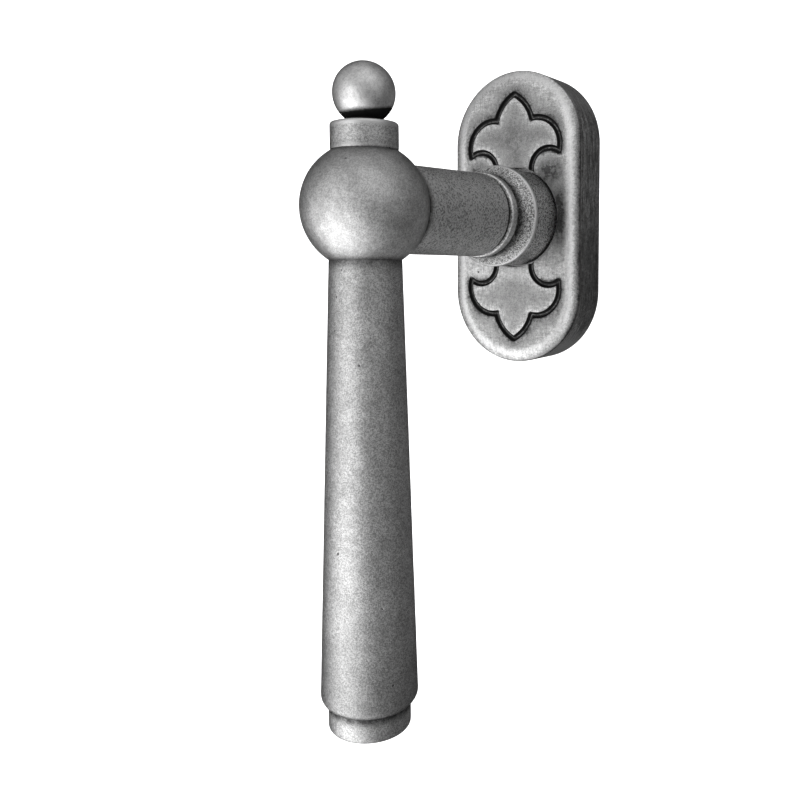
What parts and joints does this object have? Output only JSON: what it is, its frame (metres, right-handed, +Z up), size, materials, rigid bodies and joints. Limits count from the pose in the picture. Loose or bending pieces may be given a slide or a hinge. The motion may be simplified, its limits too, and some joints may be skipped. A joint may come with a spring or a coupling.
{
  "type": "tilt-and-turn window handle",
  "caption": "Window handle with a tapered hanging grip, ball-shaped hub and ball finial, turning in the neck collar of an oval rose that hides its fixings.",
  "frame": {"origin": "on the spindle axis, in the mounting plane where the rose and base plate rest on the window sash", "axes": "+Y into the sash along the spindle, -Y towards the room, +Z up along the closed handle, +X to the right as seen from the room"},
  "size_m": [0.0354, 0.1083, 0.1389],
  "materials": {
    "antique_pewter": "zinc alloy casting, blasted, plated antique pewter and rubbed bright on the edges",
    "zinc_casting": "raw zinc die casting",
    "plated_steel": "zinc plated steel",
    "spring_steel": "blued spring steel",
    "nylon": "natural nylon"
  },
  "bodies": {
    "fixing": {"base_plate": "zinc_casting", "neck_collar": "antique_pewter", "bearing_bush": "nylon", "neck_washer": "nylon", "leaf_spring_left": "spring_steel", "leaf_spring_right": "spring_steel", "detent_lid": "plated_steel", "lid_screws": "plated_steel", "fixing_screws": "plated_steel", "cover_pads": "nylon"},
    "cover": {"rose_cover": "antique_pewter"},
    "lever": {"lever_head": "antique_pewter", "finial_collar": "antique_pewter", "finial_ball": "antique_pewter", "grip": "antique_pewter", "end_button": "antique_pewter", "tie_rod": "plated_steel", "spindle": "plated_steel", "spindle_pin": "plated_steel", "thrust_washer": "plated_steel", "detent_rotor": "zinc_casting", "retaining_ring": "spring_steel"}
  },
  "joints": [
    {"name": "handle_turn", "type": "hinge", "parent": "fixing", "child": "lever", "pos_m": [0, 0, 0], "axis": [0, 1, 0], "range_deg": [0, 180], "deforming": ["leaf_spring_left", "leaf_spring_right"]},
    {"name": "cover_lift", "type": "slide", "parent": "fixing", "child": "cover", "axis": [0, -1, 0], "range_m": [0, 0.008]}
  ]
}
